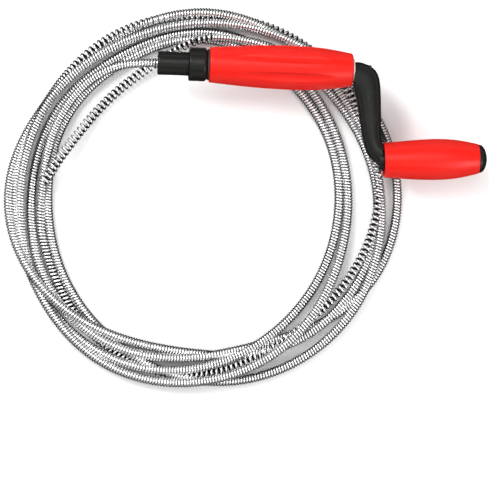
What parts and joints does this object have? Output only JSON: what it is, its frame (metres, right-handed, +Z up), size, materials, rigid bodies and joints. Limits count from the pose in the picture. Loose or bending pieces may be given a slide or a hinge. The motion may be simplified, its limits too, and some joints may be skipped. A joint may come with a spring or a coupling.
{
  "type": "drain auger",
  "caption": "Hand-cranked drain auger: a coiled spring cable with an open-wound head, clamped in the nose of a crank handle with a barrel main grip and a turning crank grip.",
  "frame": {"origin": "centre of the coiled cable, on the ground that it lies on", "axes": "+X towards the crank end of the handle, +Y from the coil's centre towards the main grip, +Z up; the handle's shaft runs along +X and dips by 3.5 degrees"},
  "size_m": [0.3914, 0.311, 0.0602],
  "materials": {
    "red_grip": "satin moulded",
    "black_plastic": "satin moulded",
    "spring_wire": "bright drawn, zinc plated",
    "bright_steel": "bright turned",
    "acetal": "natural",
    "dark_washer": "matt"
  },
  "bodies": {
    "root": {"crank_arm": "black_plastic", "nozzle": "black_plastic", "front_collar": "black_plastic", "front_thrust_washer": "dark_washer", "rear_thrust_washer": "acetal", "crank_shaft": "bright_steel", "crank_spindle": "bright_steel", "shaft_lock_pin": "bright_steel", "spindle_cross_pin": "bright_steel", "spindle_thrust_washer": "bright_steel", "spindle_end_washer": "bright_steel", "spindle_retaining_ring": "bright_steel", "collar_set_screws": "bright_steel", "cable_ferrule": "bright_steel", "cable_lead": "spring_wire", "cable_coil": "spring_wire", "auger_head": "spring_wire"},
    "main_grip_body": {"main_grip": "red_grip", "front_bush": "acetal", "rear_bush": "acetal"},
    "crank_grip_body": {"crank_grip": "red_grip", "crank_inner_bush": "acetal", "crank_outer_bush": "acetal", "crank_end_cap": "black_plastic"}
  },
  "joints": [
    {"name": "main_grip_spin", "type": "hinge", "parent": "root", "child": "main_grip_body", "pos_m": [0.0674, 0.1057, 0.0415], "axis": [0.9981, 0, -0.061], "continuous": true},
    {"name": "crank_grip_spin", "type": "hinge", "parent": "root", "child": "crank_grip_body", "pos_m": [0.14525, 0.0343, 0.03674], "axis": [0.9968, 0.0523, -0.061], "continuous": true}
  ]
}
